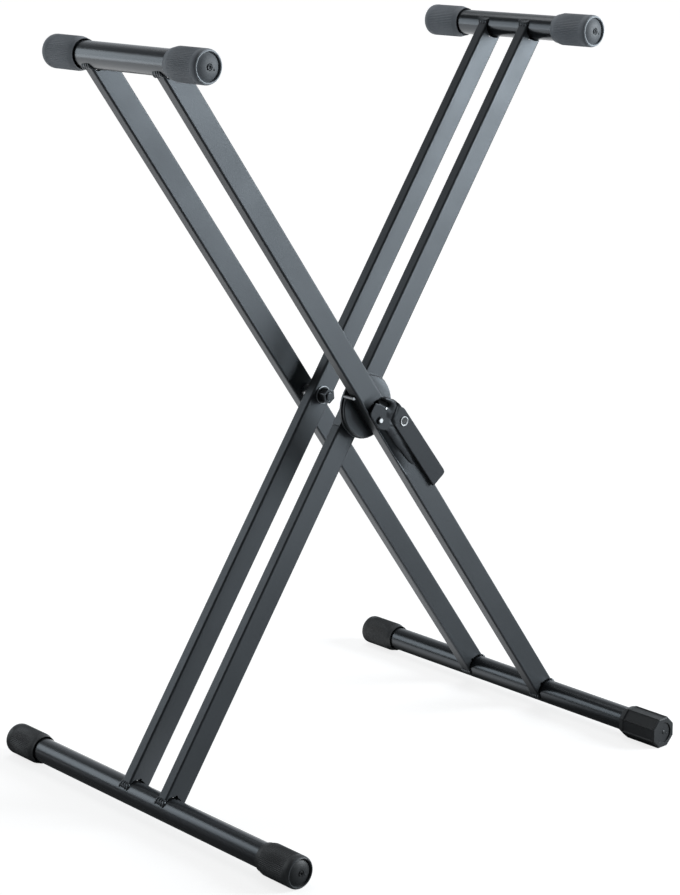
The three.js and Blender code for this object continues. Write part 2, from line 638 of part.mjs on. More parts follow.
// A small pin in the ear, which the release spring pushes on.
function hookPin() {
  const [x, z] = [HOOK_PIN_ACROSS, -HOOK_PIN_ALONG];
  return bar(HOOK_PIN_RADIUS, EAR_FRONT_Y - 1, EAR_BACK_Y + 2 * SPRING_WIRE, x, z, 12);
}

// A plain round badge, raised round its edge.
function leverBadge() {
  const front = GRIP_FRONT_Y - SEAT_GAP;
  const [x, z] = [BADGE_ACROSS, -BADGE_ALONG];
  const face = bar(BADGE_RADIUS, front - BADGE, front, x, z, 24);
  const dish = BADGE_RADIUS - 1.2;
  return face.subtract(hole(dish, front - BADGE - 1, front - BADGE / 2, x, z, 24));
}

// A segment with inward teeth in the toothed plate's plane, and a thicker back on the grip's far wall.
function lockPawl() {
  const tip = TOOTHED_RADIUS + PAWL_GAP;
  const pitch = (2 * Math.PI) / TOOTH_COUNT;
  const middle = Math.round(THREE.MathUtils.degToRad(PAWL_TURN_DEG) / pitch) * pitch;
  const low = middle - (PAWL_TEETH / 2) * pitch;
  const corner = (turn, radius) => [radius * Math.sin(turn), -radius * Math.cos(turn)];
  const arc = (radius) => {
    const turns = Array.from({ length: PAWL_ARC + 1 }, (_, i) => (i / PAWL_ARC) * PAWL_TEETH * pitch);
    return turns.map((turn) => corner(low + turn, radius));
  };
  const outside = arc(tip + PAWL).reverse();
  const teeth = [];
  for (let i = 0; i < PAWL_TEETH; i += 1) {
    teeth.push(corner(low + i * pitch, tip + TOOTH_DEPTH));
    teeth.push(corner(low + (i + (1 - TOOTH_TIP) / 2) * pitch, tip));
    teeth.push(corner(low + (i + (1 + TOOTH_TIP) / 2) * pitch, tip));
  }
  teeth.push(corner(low + PAWL_TEETH * pitch, tip + TOOTH_DEPTH));
  const back = TOOTHED_BACK_Y - PAWL_MARGIN;
  const toothed = plate(polygon([...teeth, ...outside]), TOOTHED_FRONT_Y, back);
  const foot = polygon([...arc(FLANGE_RADIUS + PLATE_ROOM), ...outside]);
  return toothed.add(plate(foot, GRIP_BACK_Y + SEAT_GAP, back));
}

// The release spring: two arms and a coil of 1.5 turns round the rivet, one unbroken wire.
class TorsionSpring extends THREE.Curve {
  constructor(radius, turns, pitch, arm) {
    super();
    Object.assign(this, { radius, turns, pitch, arm });
    this.coil = 2 * Math.PI * turns * radius;
    this.total = this.coil + 2 * arm;
  }

  getPoint(t) {
    const run = t * this.total - this.arm;
    const turned = THREE.MathUtils.clamp(run / this.coil, 0, 1);
    const past = run < 0 ? run : Math.max(run - this.coil, 0);
    const angle = Math.PI + turned * this.turns * 2 * Math.PI;
    const x = this.radius * Math.cos(angle) - past * Math.sin(angle);
    const z = this.radius * Math.sin(angle) + past * Math.cos(angle);
    return new THREE.Vector3(x, turned * this.turns * this.pitch, z);
  }
}

function releaseSpring() {
  const wire = SPRING_WIRE / 2;
  const radius = RIVET_RADIUS + SPRING_GAP + wire;
  const path = new TorsionSpring(radius, SPRING_TURNS, SPRING_PITCH, SPRING_ARM);
  const section = new THREE.Shape();
  section.absarc(0, 0, wire, 0, 2 * Math.PI, false);
  const steps = 28;
  const wound = new THREE.ExtrudeGeometry(section, { steps, curveSegments: 3, extrudePath: path });
  const y = EAR_BACK_Y + SEAT_GAP + wire;
  return solid(wound.translate(LEVER_PIVOT_ACROSS, y, -LEVER_PIVOT_ALONG));
}

// ---------------------------------------------------------------- assembly

// A frame's own directions: Z up along its legs from the pivot, and the tubes along Y.
function frameGroup(lean) {
  const group = new THREE.Group();
  group.position.set(0, 0, PIVOT_HEIGHT);
  group.rotation.y = lean;
  return group;
}

// A cap on a tube's end, turned so that one of its flats lies level.
function placeCap(group, name, body, along, span, side) {
  const mesh = piece(name, side < 0 ? body : body.mirror([0, 1, 0]), rubber);
  mesh.position.set(0, side * (span / 2 - CAP_LENGTH), along);
  mesh.rotation.y = -group.rotation.y;
  group.add(mesh);
}

const SIDES = [['near', -1], ['far', 1]];

const outer = frameGroup(-LEAN);
const inner = frameGroup(LEAN);

for (const [side, sign] of SIDES) {
  const isNear = sign < 0;
  const outerLeg = piece(`outer_leg_${side}`, isNear ? recessedLeg() : plainLeg(BOLT_RADIUS), paint);
  outerLeg.position.y = sign * OUTER_LEG_Y;
  outer.add(outerLeg);
  const innerLeg = piece(`inner_leg_${side}`, plainLeg(isNear ? CLUTCH_PIN_RADIUS : BOLT_RADIUS), paint);
  innerLeg.position.y = sign * INNER_LEG_Y;
  inner.add(innerLeg);
}

for (const [frame, group] of [['outer', outer], ['inner', inner]]) {
  for (const [end, along, span] of [['top', UPPER_LEG, TOP_SPAN], ['base', -LOWER_LEG, BASE_SPAN]]) {
    const tube = piece(`${frame}_${end}_tube`, crossTube(span), paint);
    tube.position.z = along;
    group.add(tube);
    for (const [side, sign] of SIDES) {
      const levels = frame === 'outer' && end === 'base' && sign < 0;
      const name = levels ? 'levelling_cap' : `${frame}_${end}_cap_${side}`;
      placeCap(group, name, levels ? levellingCap() : roundCap(), along, span, sign);
    }
  }
}

outer.add(
  piece('far_bolt', farBolt(), blackSteel),
  piece('far_bolt_washer', washer(WASHER_RADIUS, BOLT_RADIUS, FAR_WASHER_Y), blackSteel),
  piece('far_spacer', farSpacer(), zinc),
  piece('far_nut_washer', washer(WASHER_RADIUS, BOLT_RADIUS, FAR_NUT_WASHER_Y), blackSteel),
  piece('far_nut', farNut(), blackSteel),
  piece('outer_leg_bush', legBush(OUTER_LEG_Y, BOLT_RADIUS), zinc),
  piece('outer_clutch_plate', outerClutchPlate(), castBlack),
  piece('clutch_pin', clutchPin(), blackSteel),
  piece('clutch_washer', washer(WASHER_RADIUS, CLUTCH_PIN_RADIUS, CLUTCH_WASHER_Y), blackSteel),
  piece('clutch_nut', clutchNut(), blackSteel),
  piece('anchor_pin', anchorPin(), zinc),
  piece('release_lever', lever(), leverBlack),
  piece('lever_rivet', leverRivet(), zinc),
  piece('lever_hook_pin', hookPin(), zinc),
  piece('lever_badge', leverBadge(), badgeGrey),
  piece('lock_pawl', lockPawl(), blackSteel),
  piece('release_spring', releaseSpring(), zinc),
);

inner.add(
  piece('inner_leg_bush_far', legBush(INNER_LEG_Y, BOLT_RADIUS), zinc),
  piece('inner_leg_bush_near', legBush(-INNER_LEG_Y, CLUTCH_PIN_RADIUS), zinc),
  piece('toothed_clutch_plate', toothedClutchPlate(), castBlack),
);

const stand = new THREE.Group();
stand.add(outer, inner);
export default stand;
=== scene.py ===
import math

import bmesh
import bpy
from mathutils import Matrix, Vector


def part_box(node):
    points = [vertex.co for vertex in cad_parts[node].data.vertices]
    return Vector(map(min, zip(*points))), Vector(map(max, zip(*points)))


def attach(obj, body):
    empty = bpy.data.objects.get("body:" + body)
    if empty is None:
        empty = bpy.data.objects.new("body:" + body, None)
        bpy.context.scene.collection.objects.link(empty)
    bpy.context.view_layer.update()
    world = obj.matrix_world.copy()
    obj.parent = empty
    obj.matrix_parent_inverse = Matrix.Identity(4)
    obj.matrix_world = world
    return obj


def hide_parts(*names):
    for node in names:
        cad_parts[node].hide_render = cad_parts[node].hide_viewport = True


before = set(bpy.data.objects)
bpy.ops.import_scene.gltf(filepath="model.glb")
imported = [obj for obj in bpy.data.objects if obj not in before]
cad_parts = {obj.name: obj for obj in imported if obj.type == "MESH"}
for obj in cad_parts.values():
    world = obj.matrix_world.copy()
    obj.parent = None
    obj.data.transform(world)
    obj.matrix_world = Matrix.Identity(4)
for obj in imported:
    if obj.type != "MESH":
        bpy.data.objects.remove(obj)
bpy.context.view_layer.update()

# ---------------------------------------------------------------- rectangular legs
# Four braced legs of 30 x 15 mm steel tube with rounded corners, cut to sit on the round cross
# tubes and welded to them, then powder coated in a semi-gloss black. The far outer leg and both
# inner legs are plain tube, so each is a merged copy of its CAD solid.

LEG_PAINT = (0.0125, 0.0134, 0.0145)
LEG_ROUGHNESS, LEG_GRAIN, LEG_SHINE = 0.47, 620.0, 0.75
COOL_SHEEN = (0.84, 0.92, 1.0, 1.0)
PEEL_DEPTH = 0.00003
MERGE_GAP, FLAT_ANGLE = 0.000002, math.radians(0.4)


class Value:
    """A socket in a material's node tree. Arithmetic on it adds Math nodes."""

    def __init__(self, tree, socket=None):
        self.tree, self.socket = tree, socket

    def node(self, kind, settings=None, sockets=None, out=0):
        """A new node: its settings first, and then the values or links of its sockets."""
        made = self.tree.nodes.new(kind)
        for name, value in (settings or {}).items():
            setattr(made, name, value)
        for name, value in (sockets or {}).items():
            socket = made.inputs[name]
            if isinstance(value, Value):
                self.tree.links.new(value.socket, socket)
            elif socket.type == "RGBA":
                socket.default_value = (*value, 1)
            else:
                socket.default_value = value
        return Value(self.tree, made.outputs[out])

    def maths(self, operation, *values):
        return self.node("ShaderNodeMath", {"operation": operation}, dict(enumerate(values)))

    def vectors(self, operation, *values, out="Vector"):
        sockets = dict(enumerate(values))
        return self.node("ShaderNodeVectorMath", {"operation": operation}, sockets, out)

    def __add__(self, other):
        return self.maths("ADD", self, other)

    def __sub__(self, other):
        return self.maths("SUBTRACT", self, other)

    def __rsub__(self, other):
        return self.maths("SUBTRACT", other, self)

    def __mul__(self, other):
        return self.maths("MULTIPLY", self, other)

    __radd__, __rmul__ = __add__, __mul__

    def range(self, low, high, to_low=0.0, to_high=1.0):
        """Where the value lies from low to high, as a smooth step from to_low to to_high."""
        sockets = {"Value": self, "From Min": low, "From Max": high,
                   "To Min": to_low, "To Max": to_high}
        return self.node("ShaderNodeMapRange", {"interpolation_type": "SMOOTHSTEP"}, sockets)

    def noise(self, place, scale, detail=2.0, rough=0.5):
        sockets = {"Vector": place, "Scale": scale, "Detail": detail, "Roughness": rough}
        return self.node("ShaderNodeTexNoise", {}, sockets)

    def mix(self, factor, low, high):
        """A colour from low to high. A Mix node's colours are inputs 6 and 7 and output 2."""
        sockets = {0: factor, 6: low, 7: high}
        return self.node("ShaderNodeMix", {"data_type": "RGBA"}, sockets, 2)


def tint(colour, gain):
    return tuple(min(1.0, part * gain) for part in colour)


def finish(name, **constants):
    """A new material, its node values, the place on the piece, and its surface node."""
    material = bpy.data.materials.new(name)
    material.use_nodes = True
    surface = material.node_tree.nodes["Principled BSDF"]
    for socket, value in constants.items():
        surface.inputs[socket.replace("_", " ")].default_value = value
    values = Value(material.node_tree)
    place = values.node("ShaderNodeTexCoord", out="Object")
    return material, values, place, surface


def wire(values, surface, colour, roughness, height, relief):
    """Joins the varying colour, roughness and height, as deep as relief, to the surface."""
    bump = values.node("ShaderNodeBump", {}, {"Distance": relief, "Height": height})
    links = values.tree.links
    links.new(colour.socket, surface.inputs["Base Color"])
    links.new(roughness.socket, surface.inputs["Roughness"])
    links.new(bump.socket, surface.inputs["Normal"])


def powder_coat(name, colour, rough, grain, dust=0.16, shine=0.5):
    """Sprayed powder coat: orange peel, cloudy gloss, pale dust specks and a few fine scuffs."""
    material, values, place, surface = finish(name, Specular_IOR_Level=shine,
                                              Specular_Tint=COOL_SHEEN)
    peel = values.noise(place, grain, rough=0.55)
    clouds = values.noise(place, 9.0, detail=3.0, rough=0.6)
    fine = values.noise(place, 260.0, rough=0.6)
    specks = values.noise(place, 1150.0, detail=1.0, rough=0.4).range(0.70, 0.80)
    body = values.mix(clouds.range(0.3, 0.75), tint(colour, 0.93), tint(colour, 1.07))
    body = values.mix(fine.range(0.35, 0.75, 0.0, 0.5), body, tint(colour, 1.12))
    body = values.mix(specks * dust, body, tint(colour, 2.6))
    gloss = clouds.range(0.25, 0.8, rough - 0.035, rough + 0.045) + fine * 0.03 + specks * 0.12
    wire(values, surface, body, gloss, peel + fine * 0.35 + clouds * 0.4, PEEL_DEPTH)
    return material


leg_finish = powder_coat("leg_powder_coat", LEG_PAINT, LEG_ROUGHNESS, LEG_GRAIN, shine=LEG_SHINE)


def frame_body(node):
    """The body of a node whose name starts with its frame's: outer_frame or inner_frame."""
    return node.split("_")[0] + "_frame"


def mesh_of(name, bm):
    mesh = bpy.data.meshes.new(name)
    bm.to_mesh(mesh)
    bm.free()
    return mesh


def place_piece(name, mesh, material, body, nodes=(), smooth=35):
    """A finished piece, smooth but for edges sharper than smooth degrees, on its body."""
    mesh.materials.clear()
    mesh.materials.append(material)
    mesh.shade_smooth()
    mesh.set_sharp_from_angle(angle=math.radians(smooth))
    piece = bpy.data.objects.new(name, mesh)
    bpy.context.scene.collection.objects.link(piece)
    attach(piece, body)
    if nodes:
        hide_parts(*nodes)
    return piece


def merged_copy(node):
    """A CAD node's mesh with its loose triangles merged and its flat faces joined."""
    bm = bmesh.new()
    bm.from_mesh(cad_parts[node].data)
    bmesh.ops.remove_doubles(bm, verts=bm.verts, dist=MERGE_GAP)
    bmesh.ops.dissolve_limit(bm, angle_limit=FLAT_ANGLE, verts=bm.verts, edges=bm.edges)
    return bm


def round_edges(piece, width, segments=2, angle=38):
    rounding = piece.modifiers.new("edges", "BEVEL")
    rounding.width, rounding.segments, rounding.profile = width, segments, 0.5
    rounding.limit_method, rounding.angle_limit = "ANGLE", math.radians(angle)
    rounding.harden_normals = True


def keep_flats(piece):
    piece.modifiers.new("faces", "WEIGHTED_NORMAL").keep_sharp = True


def dressed(node, material, body, bevel=0.0, segments=2, smooth=35):
    """A merged copy of a CAD node with its sharp edges rounded, which takes the node's place."""
    mesh = mesh_of(node, merged_copy(node))
    piece = place_piece(f"{node}_piece", mesh, material, body, [node], smooth)
    if bevel:
        round_edges(piece, bevel, segments)
    else:
        keep_flats(piece)


for leg_node in ("outer_leg_far", "inner_leg_near", "inner_leg_far"):
    dressed(leg_node, leg_finish, frame_body(leg_node))

# ---------------------------------------------------------------- near outer leg
# The same tube with a long trough pressed into its near face, deepest at the left and soft at its
# ends. It holds a round seat for the clutch pin's head and a pocket for the release spring.

LEG_WIDTH, LEG_DEPTH = 0.030, 0.015
OUTER_LEG_Y = 0.063
LEAN = math.radians(34.75)
PIVOT = Vector((0, 0, 0.447489))
# Down the near outer leg, and across it to the right. All that is pressed into the leg, and the
# lever on it, is measured so from the pivot, in millimetres. An edge is its start and its width.
ALONG = Vector((math.sin(LEAN), 0, -math.cos(LEAN)))
ACROSS = Vector((math.cos(LEAN), 0, math.sin(LEAN)))
GRID_TOP, GRID_BOTTOM, GRID_HALF = -44, 108, 12
NEAR_WALL = 0.0017
TROUGH_TOP, TROUGH_BOTTOM, TROUGH_LEFT = (-24, 22), (46, 58), (-13.4, 1.6)
DEEPEST, TROUGH_DEPTH, TROUGH_RUN = -12.2, 7.6, 5.6
SEAT_DEPTH, SEAT_EDGE = 6.3, (7.9, 2.0)
RIVET_ALONG, RIVET_ACROSS = 12.5, -6.6
POCKET_DEPTH, POCKET_EDGE = 4.4, (5.6, 1.5)


def slope(value, start, run):
    """A smooth step: 0 up to start, and 1 from a run further on."""
    share = min(max((value - start) / run, 0.0), 1.0)
    return share * share * (3 - 2 * share)


def pressed_depth(along, across):
    """How deep the near face is pressed in at a spot."""
    ends = slope(along, *TROUGH_TOP) * (1 - slope(along, *TROUGH_BOTTOM))
    wall = slope(across, *TROUGH_LEFT)
    trough = TROUGH_DEPTH * ends * wall * math.exp(-max(0.0, across - DEEPEST) / TROUGH_RUN)
    seat = SEAT_DEPTH * (1 - slope(math.hypot(along, across), *SEAT_EDGE))
    from_rivet = math.hypot(along - RIVET_ALONG, across - RIVET_ACROSS)
    pocket = POCKET_DEPTH * (1 - slope(from_rivet, *POCKET_EDGE))
    return max(trough, seat, pocket)


def on_leg(co):
    """A point's place along and across the near outer leg."""
    return (co - PIVOT).dot(ALONG) * 1000, (co - PIVOT).dot(ACROSS) * 1000


def leg_point(along, across, y=0.0):
    """The point at a place along and across the near outer leg."""
    return PIVOT + ALONG * along / 1000 + ACROSS * across / 1000 + Vector((0, y / 1000, 0))


bm = merged_copy("outer_leg_far")
bmesh.ops.translate(bm, vec=(0, -2 * OUTER_LEG_Y, 0), verts=bm.verts)
near_y = -OUTER_LEG_Y - LEG_DEPTH / 2 + NEAR_WALL


def near_wall():
    """The near wall's faces along the trough, with their edges and corners."""
    faces = [f for f in bm.faces if f.calc_center_median().y < near_y
             and GRID_TOP < on_leg(f.calc_center_median())[0] < GRID_BOTTOM]
    edges = dict.fromkeys(e for f in faces for e in f.edges)
    corners = dict.fromkeys(v for e in edges for v in e.verts)
    return [*faces, *edges, *corners]


for cut in (GRID_TOP, GRID_BOTTOM):
    bmesh.ops.bisect_plane(bm, geom=[*bm.verts, *bm.edges, *bm.faces],
                           plane_co=leg_point(cut, 0), plane_no=ALONG)
for cut in range(GRID_TOP + 1, GRID_BOTTOM):
    bmesh.ops.bisect_plane(bm, geom=near_wall(), plane_co=leg_point(cut, 0), plane_no=ALONG)
for cut in range(-GRID_HALF, GRID_HALF + 1):
    bmesh.ops.bisect_plane(bm, geom=near_wall(), plane_co=leg_point(0, cut), plane_no=ACROSS)
grid = [part for part in near_wall() if isinstance(part, bmesh.types.BMFace)]
bmesh.ops.triangulate(bm, faces=grid)
for v in bm.verts:
    along, across = on_leg(v.co)
    if v.co.y < near_y and GRID_TOP + 1 < along < GRID_BOTTOM - 1:
        v.co.y += pressed_depth(along, across) / 1000
near_leg = place_piece("outer_leg_near_piece", mesh_of("outer_leg_near", bm), leg_finish,
                       "outer_frame", ["outer_leg_near"], 50)
keep_flats(near_leg)

# ---------------------------------------------------------------- round cross tubes
# Four 30 mm round steel tubes, in the same black coat but smoother and glossier, with fine drawing
# streaks along them. The top pair carries the keyboard and the base pair stands on the floor.

TUBE_RADIUS, TUBE_WALL, TUBE_SIDES = 0.015, 0.0015, 96
TUBE_PAINT = (0.0120, 0.0128, 0.0138)
TUBE_SHINE = 0.7
STREAK_STRETCH = (1.0, 0.035, 1.0)
SEAM_GAP = 0.000001


def tube_coat():
    material, values, place, surface = finish("tube_powder_coat", Specular_IOR_Level=TUBE_SHINE,
                                              Specular_Tint=COOL_SHEEN)
    along = values.node("ShaderNodeMapping", {}, {"Vector": place, "Scale": STREAK_STRETCH})
    streaks = values.noise(along, 420.0, detail=3.0, rough=0.65)
    wide = values.noise(along, 60.0)
    peel = values.noise(place, 700.0)
    body = values.mix(streaks.range(0.3, 0.75), tint(TUBE_PAINT, 0.86), tint(TUBE_PAINT, 1.16))
    gloss = wide.range(0.25, 0.75, 0.20, 0.30) + streaks * 0.06
    wire(values, surface, body, gloss, streaks * 0.8 + wide + peel * 0.3, PEEL_DEPTH)
    return material


tube_finish = tube_coat()


def spun(profile, steps):
    """A closed profile of (radius, along) turned once round the Y axis."""
    bm = bmesh.new()
    points = [bm.verts.new((radius, along, 0)) for radius, along in profile]
    edges = [bm.edges.new(pair) for pair in zip(points, [*points[1:], points[0]])]
    bmesh.ops.spin(bm, geom=points + edges, cent=(0, 0, 0), axis=(0, 1, 0), angle=math.tau,
                   steps=steps, use_merge=True)
    bmesh.ops.remove_doubles(bm, verts=bm.verts, dist=SEAM_GAP)
    bmesh.ops.recalc_face_normals(bm, faces=bm.faces)
    return bm


def tube_axis(node):
    """The point at Y = 0 on the axis of a node that lies along Y."""
    low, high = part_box(node)
    return Vector(((low.x + high.x) / 2, 0, (low.z + high.z) / 2))


for tube_node in ("outer_top_tube", "outer_base_tube", "inner_top_tube", "inner_base_tube"):
    low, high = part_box(tube_node)
    half, bore = (high.y - low.y) / 2, TUBE_RADIUS - TUBE_WALL
    outside = [(TUBE_RADIUS, half * share) for share in (-1, -1 / 3, 1 / 3, 1)]
    bm = spun([*outside, (bore, half), (bore, -half)], TUBE_SIDES)
    bmesh.ops.translate(bm, vec=tube_axis(tube_node), verts=bm.verts)
    place_piece(f"{tube_node}_piece", mesh_of(tube_node, bm), tube_finish, frame_body(tube_node),
                [tube_node])

# ---------------------------------------------------------------- weld beads
# A fillet of weld runs across each narrow side of a leg where it meets its cross tube, coated with
# the rest. Each bead is a short row of overlapping ripples that wraps a little onto the wide faces.

BEAD_RADIUS, BEAD_STEPS = 0.0027, 12
RIPPLE_SHAPE = (1.35, 0.72, 0.55)
RIPPLE_SWAY, SWAY_TURN, SWAY_SHIFT = 0.0010, 2.3, 300
RIPPLE_SWELL, SWELL_TURN, SWELL_SHIFT = 0.22, 1.9, 50
# How far a bead sinks into the leg's side, stands off the tube, and stops short of the leg's depth.
BEAD_SINK, BEAD_STAND, BEAD_SHORT = 0.0002, 0.0006, 0.001
INNER_LEG_Y = 0.034
LEG_LINES = {"outer": (1, OUTER_LEG_Y), "inner": (-1, INNER_LEG_Y)}
TUBE_ALONG = {"top": -0.513, "base": 0.5215}
# The weld coat is painted paler than the legs' and thickly flecked. This is partly dust and partly
# painted glints on the ripples.
weld_painted_sheen = powder_coat("coated_weld_painted_sheen", tint(LEG_PAINT, 1.8), 0.24, 420.0, dust=0.9, shine=1.0)


def weld_bead(name, lean_sign, along, leg_y, side, body):
    """A rippled bead at a leg's narrow side, where it meets the tube's round."""
    toward_pivot = 1 if along < 0 else -1
    across = side * (LEG_WIDTH / 2 - BEAD_SINK)
    rise = math.sqrt(TUBE_RADIUS ** 2 - (LEG_WIDTH / 2 - 2 * BEAD_SINK) ** 2) + BEAD_STAND
    bm = bmesh.new()
    for step in range(BEAD_STEPS):
        sway = RIPPLE_SWAY * math.sin(step * SWAY_TURN + across * SWAY_SHIFT)
        swell = RIPPLE_SWELL * math.sin(step * SWELL_TURN + along * SWELL_SHIFT)
        share = step / (BEAD_STEPS - 1) - 0.5
        place = (along + toward_pivot * (rise + sway), across, share * (LEG_DEPTH - BEAD_SHORT))
        made = bmesh.ops.create_icosphere(bm, subdivisions=2, radius=BEAD_RADIUS * (1 + swell))
        bmesh.ops.scale(bm, vec=RIPPLE_SHAPE, verts=made["verts"])
        bmesh.ops.translate(bm, vec=place, verts=made["verts"])
    sine, cosine = math.sin(LEAN), math.cos(LEAN)
    to_stand = Matrix(((lean_sign * sine, lean_sign * cosine, 0, PIVOT.x),
                       (0, 0, 1, leg_y),
                       (-cosine, sine, 0, PIVOT.z),
                       (0, 0, 0, 1)))
    bmesh.ops.transform(bm, matrix=to_stand, verts=bm.verts)
    bmesh.ops.recalc_face_normals(bm, faces=bm.faces)
    place_piece(name, mesh_of(name, bm), weld_painted_sheen, body, smooth=80)


for frame_name, (lean_sign, leg_y) in LEG_LINES.items():
    for end_name, along in TUBE_ALONG.items():
        for side_name, y_sign in (("near", -1), ("far", 1)):
            for edge_name, edge in (("lower", -1), ("upper", 1)):
                weld_bead(f"{frame_name}_{end_name}_weld_{side_name}_{edge_name}", lean_sign,
                          along, y_sign * leg_y, edge, f"{frame_name}_frame")

# ---------------------------------------------------------------- ribbed rubber end caps
# Seven moulded rubber caps are pushed over the tube ends. Fine lengthwise ribs grip the keyboard,
# and the mouth flares clear of the tube. The closed end is a low dome inside a rim, with the nub
# and the dot that the mould's gate and pin leave. The rim is painted paler, as a painted highlight,
# and the dome darker, as painted shade.

CAP_RIBS, RIB_DEPTH, RIB_TURN = 58, 0.0006, 0.4
# The top caps' rubber is painted several times lighter than the base caps': painted light on the
# one black rubber of all seven caps.
LIT_CAP_RUBBER = (0.200, 0.219, 0.243)
# The end is painted darker and the rim paler than the side: painted shade on the dome and a painted
# highlight on the rim.
END_SHADED_RUBBER = (0.085, 0.093, 0.102)
RIM_HIGHLIGHT_RUBBER = (0.32, 0.345, 0.37)
BASE_RUBBER = (0.026, 0.028, 0.030)
RUBBER_SHINE, TOOTH_DEPTH = 0.42, 0.00005
# Radius and distance from the mouth: the mouth and its flare, the ribbed side, the rim, its groove,
# the low dome with its ringed nub, and the hollow back to the mouth.
CAP_PROFILE = [
    (0.0155, 0.0105), (0.0165, 0.0100), (0.0168, 0.0008), (0.01695, 0.0001), (0.0171, 0.0004),
    (0.0172, 0.0012), (0.0175, 0.0030), (0.0180, 0.0048), (0.0184, 0.0062), (0.0185, 0.0074),
    (0.0184, 0.0082), (0.0184, 0.0240), (0.0184, 0.0380), (0.0184, 0.0465), (0.0188, 0.0472),
    (0.0190, 0.0480), (0.0190, 0.0512), (0.0189, 0.0528), (0.0186, 0.0542), (0.0181, 0.0554),
    (0.0174, 0.0563), (0.0168, 0.0566), (0.0162, 0.0565), (0.0159, 0.0561), (0.0157, 0.0552),
    (0.0155, 0.0542), (0.0152, 0.0538), (0.0148, 0.0539), (0.0130, 0.0550), (0.0105, 0.0562),
    (0.0075, 0.0570), (0.0050, 0.0573), (0.0040, 0.0573), (0.0036, 0.0564), (0.0032, 0.0564),
    (0.0028, 0.0575), (0.0023, 0.0580), (0.0018, 0.0579), (0.0014, 0.0568), (0.0, 0.0566),
    (0.0, 0.0520), (0.0148, 0.0520), (0.0155, 0.0514),
]
RIBBED_FROM, RIBBED_TO, RIBBED_RADIUS = 0.0080, 0.0470, 0.0180
RIM_INNER, RIM_OUTER, RIM_FROM = 0.0156, 0.0186, 0.0548
END_RADIUS, END_FROM = 0.0157, 0.0530
DOT_RADIUS, DOT_FLATTEN, DOT_ALONG, DOT_EDGE = 0.0012, 0.6, 0.0571, 0.0001
DOT_PLACE = Vector((0.0062, -0.0030))
RIM_INDEX, DOT_INDEX, END_INDEX = 1, 2, 3


def rubber(name, colour, rough=0.62):
    """Moulded rubber: cloudy bloom, a fine tooth and small dark pits."""
    material, values, place, surface = finish(name, Specular_IOR_Level=RUBBER_SHINE)
    bloom = values.noise(place, 42.0, detail=3.0, rough=0.6)
    fine = values.noise(place, 900.0, detail=3.0, rough=0.6)
    pits = values.noise(place, 2100.0, detail=1.0).range(0.28, 0.40, 1.0, 0.0)
    body = values.mix(bloom.range(0.3, 0.75), tint(colour, 0.90), tint(colour, 1.10))
    body = values.mix(fine.range(0.4, 0.7, 0.0, 0.6), body, tint(colour, 1.10))
    body = values.mix(pits * 0.5, body, tint(colour, 0.72))
    gloss = bloom.range(0.3, 0.8, rough - 0.05, rough + 0.06) + fine * 0.05
    wire(values, surface, body, gloss, fine - pits * 0.6, TOOTH_DEPTH)
    return material


base_side = rubber("base_cap_rubber", BASE_RUBBER, 0.50)
# The rubber of the side, the rim, the dot and the end, by which tube carries the cap.
# The top set is painted lighter than the base set, as painted light.
CAP_FINISHES = {
    "top": (rubber("cap_rubber", LIT_CAP_RUBBER), rubber("cap_rim_painted_highlight", RIM_HIGHLIGHT_RUBBER, 0.55), base_side,
            rubber("cap_end", END_SHADED_RUBBER, 0.55)),
    "base": (base_side, rubber("base_cap_rim_painted_highlight", tint(BASE_RUBBER, 1.8), 0.50), base_side,
             rubber("base_cap_end", tint(BASE_RUBBER, 0.7), 0.50)),
}


def round_cap(node, side, side_rubber, *other_rubbers):
    """One cap with its mouth towards the middle and its closed end at side."""
    bm = spun(CAP_PROFILE, CAP_RIBS * 4)
    for v in bm.verts:
        if RIBBED_FROM < v.co.y < RIBBED_TO and v.co.xz.length > RIBBED_RADIUS:
            turn = math.atan2(v.co.z, v.co.x) * CAP_RIBS - RIB_TURN
            grown = 1 + RIB_DEPTH * (0.5 + 0.5 * math.cos(turn)) / v.co.xz.length
            v.co.x, v.co.z = v.co.x * grown, v.co.z * grown
    if side < 0:
        bmesh.ops.scale(bm, vec=(1, -1, 1), verts=bm.verts)
    dot = bmesh.ops.create_uvsphere(bm, u_segments=16, v_segments=8, radius=DOT_RADIUS)
    bmesh.ops.scale(bm, vec=(1, DOT_FLATTEN, 1), verts=dot["verts"])
    bmesh.ops.translate(bm, vec=(DOT_PLACE.x, side * DOT_ALONG, DOT_PLACE.y), verts=dot["verts"])
    bmesh.ops.recalc_face_normals(bm, faces=bm.faces)
    low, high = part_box(node)
    mouth = tube_axis(node) + Vector((0, low.y if side > 0 else high.y, 0))
    bmesh.ops.translate(bm, vec=mouth, verts=bm.verts)
    cap = place_piece(f"{node}_piece", mesh_of(node, bm), side_rubber, frame_body(node),
                      [node], 30)
    for other in other_rubbers:
        cap.data.materials.append(other)
    for face in cap.data.polygons:
        spot = face.center - mouth
        radius, depth = spot.xz.length, abs(spot.y)
        # The rim's faces take the painted highlight, and the end's take the painted shade.
        if RIM_INNER < radius < RIM_OUTER and depth > RIM_FROM:
            face.material_index = RIM_INDEX
        elif radius < END_RADIUS and depth > END_FROM:
            face.material_index = END_INDEX
        off_dot = (spot.xz - DOT_PLACE).length
        if off_dot < DOT_RADIUS - DOT_EDGE and depth > DOT_ALONG + DOT_EDGE:
            face.material_index = DOT_INDEX


for cap_node, side in (("outer_top_cap_near", -1), ("outer_top_cap_far", 1),
                       ("inner_top_cap_near", -1), ("inner_top_cap_far", 1),
                       ("outer_base_cap_far", 1), ("inner_base_cap_near", -1),
                       ("inner_base_cap_far", 1)):
    round_cap(cap_node, side, *CAP_FINISHES[cap_node.split("_")[1]])

